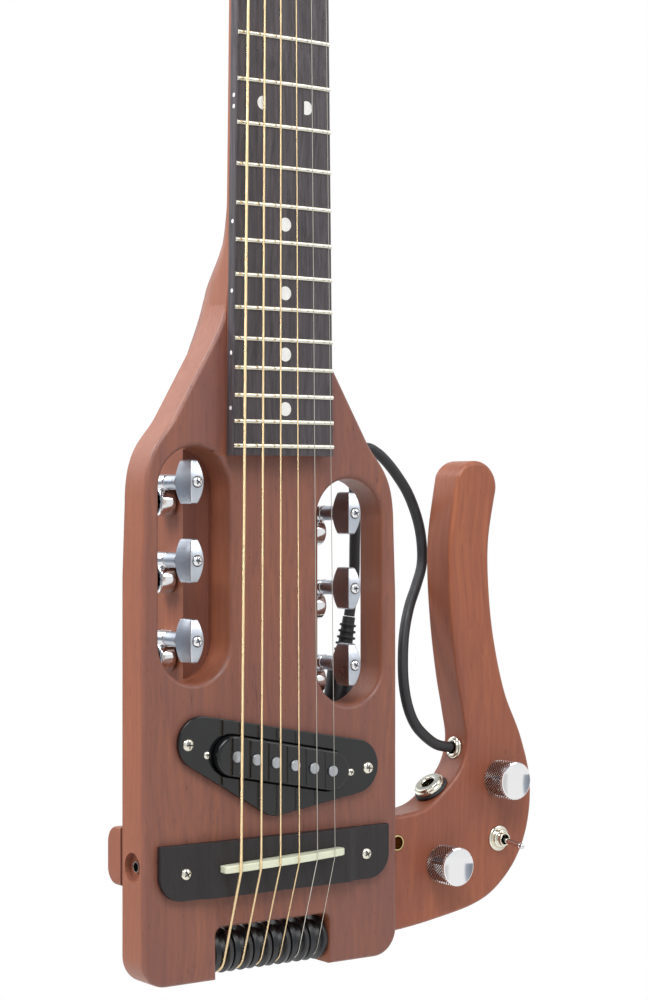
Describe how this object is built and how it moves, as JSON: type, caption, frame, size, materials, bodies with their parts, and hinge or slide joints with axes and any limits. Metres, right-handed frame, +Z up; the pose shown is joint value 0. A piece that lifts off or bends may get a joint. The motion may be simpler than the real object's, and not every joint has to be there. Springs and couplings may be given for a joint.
{
  "type": "travel guitar",
  "caption": "Headless electric travel guitar with tuners in slots of a slim body, strings that turn back over rollers, and a detachable lap rest with controls.",
  "frame": {"origin": "bottom end of the body, on the centre line, in the plane of the body's front face", "axes": "+X to the treble side, where the lap rest is; +Y from the front face into the guitar; +Z up the neck to the head end"},
  "size_m": [0.2216, 0.0568, 0.7112],
  "materials": {
    "stained_wood": "satin",
    "dark_wood": "satin",
    "bone": "satin",
    "chrome": "polished",
    "steel": "satin",
    "bronze_wire": "satin",
    "brass": "satin",
    "black_gloss": "gloss",
    "black_plastic": "matte",
    "black_rubber": "matte"
  },
  "bodies": {
    "body_and_neck": {"center_beam": "stained_wood", "bass_wing": "stained_wood", "treble_wing": "stained_wood", "rest_rib": "stained_wood", "fretboard": "dark_wood", "truss_rod": "steel", "nut": "bone", "string_anchor": "steel", "bridge": "dark_wood", "saddle": "bone", "pickup_plate": "black_gloss", "pickup": "black_gloss", "roller_axle": "steel", "string_1": "bronze_wire", "string_2": "bronze_wire", "string_3": "bronze_wire", "string_4": "bronze_wire", "string_5": "steel", "string_6": "steel", "tuner_housing_1": "chrome", "tuner_housing_2": "chrome", "tuner_housing_3": "chrome", "tuner_housing_4": "chrome", "tuner_housing_5": "chrome", "tuner_housing_6": "chrome", "lead_jack": "chrome", "side_socket": "steel", "lead_plug": "black_rubber", "strain_relief": "black_rubber", "lead_cable": "black_rubber"},
    "rest": {"lap_rest": "stained_wood", "slide_bar": "steel", "cavity_cover": "black_plastic", "volume_pot": "steel", "tone_pot": "steel", "switch_body": "chrome", "output_jack": "chrome", "cable_eyelet": "chrome", "threaded_insert": "brass"},
    "volume_knob": {"volume_knob": "chrome"},
    "tone_knob": {"tone_knob": "chrome"},
    "switch_lever": {"switch_lever": "chrome"},
    "tuner_button_1": {"tuner_button_1": "chrome"},
    "tuner_button_2": {"tuner_button_2": "chrome"},
    "tuner_button_3": {"tuner_button_3": "chrome"},
    "tuner_button_4": {"tuner_button_4": "chrome"},
    "tuner_button_5": {"tuner_button_5": "chrome"},
    "tuner_button_6": {"tuner_button_6": "chrome"},
    "string_post_1": {"string_post_1": "steel"},
    "string_post_2": {"string_post_2": "steel"},
    "string_post_3": {"string_post_3": "steel"},
    "string_post_4": {"string_post_4": "steel"},
    "string_post_5": {"string_post_5": "steel"},
    "string_post_6": {"string_post_6": "steel"},
    "roller_1": {"roller_1": "black_plastic"},
    "roller_2": {"roller_2": "black_plastic"},
    "roller_3": {"roller_3": "black_plastic"},
    "roller_4": {"roller_4": "black_plastic"},
    "roller_5": {"roller_5": "black_plastic"},
    "roller_6": {"roller_6": "black_plastic"}
  },
  "joints": [
    {"name": "lap_rest_slide", "type": "slide", "parent": "body_and_neck", "child": "rest", "axis": [1, 0, 0], "range_m": [0, 0.14], "deforming": ["lead_cable"]},
    {"name": "volume_turn", "type": "hinge", "parent": "rest", "child": "volume_knob", "pos_m": [0.1357, 0, 0.0732], "axis": [0, 1, 0], "range_deg": [-150, 150]},
    {"name": "tone_turn", "type": "hinge", "parent": "rest", "child": "tone_knob", "pos_m": [0.101, 0, 0.0361], "axis": [0, 1, 0], "range_deg": [-150, 150]},
    {"name": "switch_throw", "type": "hinge", "parent": "rest", "child": "switch_lever", "pos_m": [0.1354, 0.0094, 0.0449], "axis": [1, 0, 0], "range_deg": [-22, 0]},
    {"name": "tuner_1_turn", "type": "hinge", "parent": "body_and_neck", "child": "tuner_button_1", "pos_m": [-0.0413, 0.0045, 0.1454], "axis": [0, 1, 0], "continuous": true},
    {"name": "tuner_2_turn", "type": "hinge", "parent": "body_and_neck", "child": "tuner_button_2", "pos_m": [-0.0413, 0.0045, 0.1795], "axis": [0, 1, 0], "continuous": true},
    {"name": "tuner_3_turn", "type": "hinge", "parent": "body_and_neck", "child": "tuner_button_3", "pos_m": [-0.0413, 0.0045, 0.213], "axis": [0, 1, 0], "continuous": true},
    {"name": "tuner_4_turn", "type": "hinge", "parent": "body_and_neck", "child": "tuner_button_4", "pos_m": [0.0413, 0.0045, 0.1994], "axis": [0, 1, 0], "continuous": true},
    {"name": "tuner_5_turn", "type": "hinge", "parent": "body_and_neck", "child": "tuner_button_5", "pos_m": [0.0413, 0.0045, 0.1659], "axis": [0, 1, 0], "continuous": true},
    {"name": "tuner_6_turn", "type": "hinge", "parent": "body_and_neck", "child": "tuner_button_6", "pos_m": [0.0413, 0.0045, 0.1318], "axis": [0, 1, 0], "continuous": true},
    {"name": "post_1_turn", "type": "hinge", "parent": "body_and_neck", "child": "string_post_1", "pos_m": [-0.0356, 0.029, 0.1369], "axis": [1, 0, 0], "continuous": true},
    {"name": "post_2_turn", "type": "hinge", "parent": "body_and_neck", "child": "string_post_2", "pos_m": [-0.0356, 0.029, 0.171], "axis": [1, 0, 0], "continuous": true},
    {"name": "post_3_turn", "type": "hinge", "parent": "body_and_neck", "child": "string_post_3", "pos_m": [-0.0356, 0.029, 0.2045], "axis": [1, 0, 0], "continuous": true},
    {"name": "post_4_turn", "type": "hinge", "parent": "body_and_neck", "child": "string_post_4", "pos_m": [0.0356, 0.029, 0.1909], "axis": [1, 0, 0], "continuous": true},
    {"name": "post_5_turn", "type": "hinge", "parent": "body_and_neck", "child": "string_post_5", "pos_m": [0.0356, 0.029, 0.1574], "axis": [1, 0, 0], "continuous": true},
    {"name": "post_6_turn", "type": "hinge", "parent": "body_and_neck", "child": "string_post_6", "pos_m": [0.0356, 0.029, 0.1233], "axis": [1, 0, 0], "continuous": true},
    {"name": "roller_1_turn", "type": "hinge", "parent": "body_and_neck", "child": "roller_1", "pos_m": [-0.02475, 0.0108, 0.0106], "axis": [1, 0, 0], "continuous": true},
    {"name": "roller_2_turn", "type": "hinge", "parent": "body_and_neck", "child": "roller_2", "pos_m": [-0.01485, 0.0108, 0.0106], "axis": [1, 0, 0], "continuous": true},
    {"name": "roller_3_turn", "type": "hinge", "parent": "body_and_neck", "child": "roller_3", "pos_m": [-0.00495, 0.0108, 0.0106], "axis": [1, 0, 0], "continuous": true},
    {"name": "roller_4_turn", "type": "hinge", "parent": "body_and_neck", "child": "roller_4", "pos_m": [0.00495, 0.0108, 0.0106], "axis": [1, 0, 0], "continuous": true},
    {"name": "roller_5_turn", "type": "hinge", "parent": "body_and_neck", "child": "roller_5", "pos_m": [0.01485, 0.0108, 0.0106], "axis": [1, 0, 0], "continuous": true},
    {"name": "roller_6_turn", "type": "hinge", "parent": "body_and_neck", "child": "roller_6", "pos_m": [0.02475, 0.0108, 0.0106], "axis": [1, 0, 0], "continuous": true}
  ],
  "couplings": [
    {"joint": "post_1_turn", "follows": "tuner_1_turn", "ratio": -0.071429},
    {"joint": "post_2_turn", "follows": "tuner_2_turn", "ratio": -0.071429},
    {"joint": "post_3_turn", "follows": "tuner_3_turn", "ratio": -0.071429},
    {"joint": "post_4_turn", "follows": "tuner_4_turn", "ratio": -0.071429},
    {"joint": "post_5_turn", "follows": "tuner_5_turn", "ratio": -0.071429},
    {"joint": "post_6_turn", "follows": "tuner_6_turn", "ratio": -0.071429},
    {"joint": "roller_1_turn", "follows": "tuner_1_turn", "ratio": 0.031538},
    {"joint": "roller_2_turn", "follows": "tuner_2_turn", "ratio": 0.030878},
    {"joint": "roller_3_turn", "follows": "tuner_3_turn", "ratio": 0.030269},
    {"joint": "roller_4_turn", "follows": "tuner_4_turn", "ratio": 0.029744},
    {"joint": "roller_5_turn", "follows": "tuner_5_turn", "ratio": 0.029231},
    {"joint": "roller_6_turn", "follows": "tuner_6_turn", "ratio": 0.028943}
  ]
}
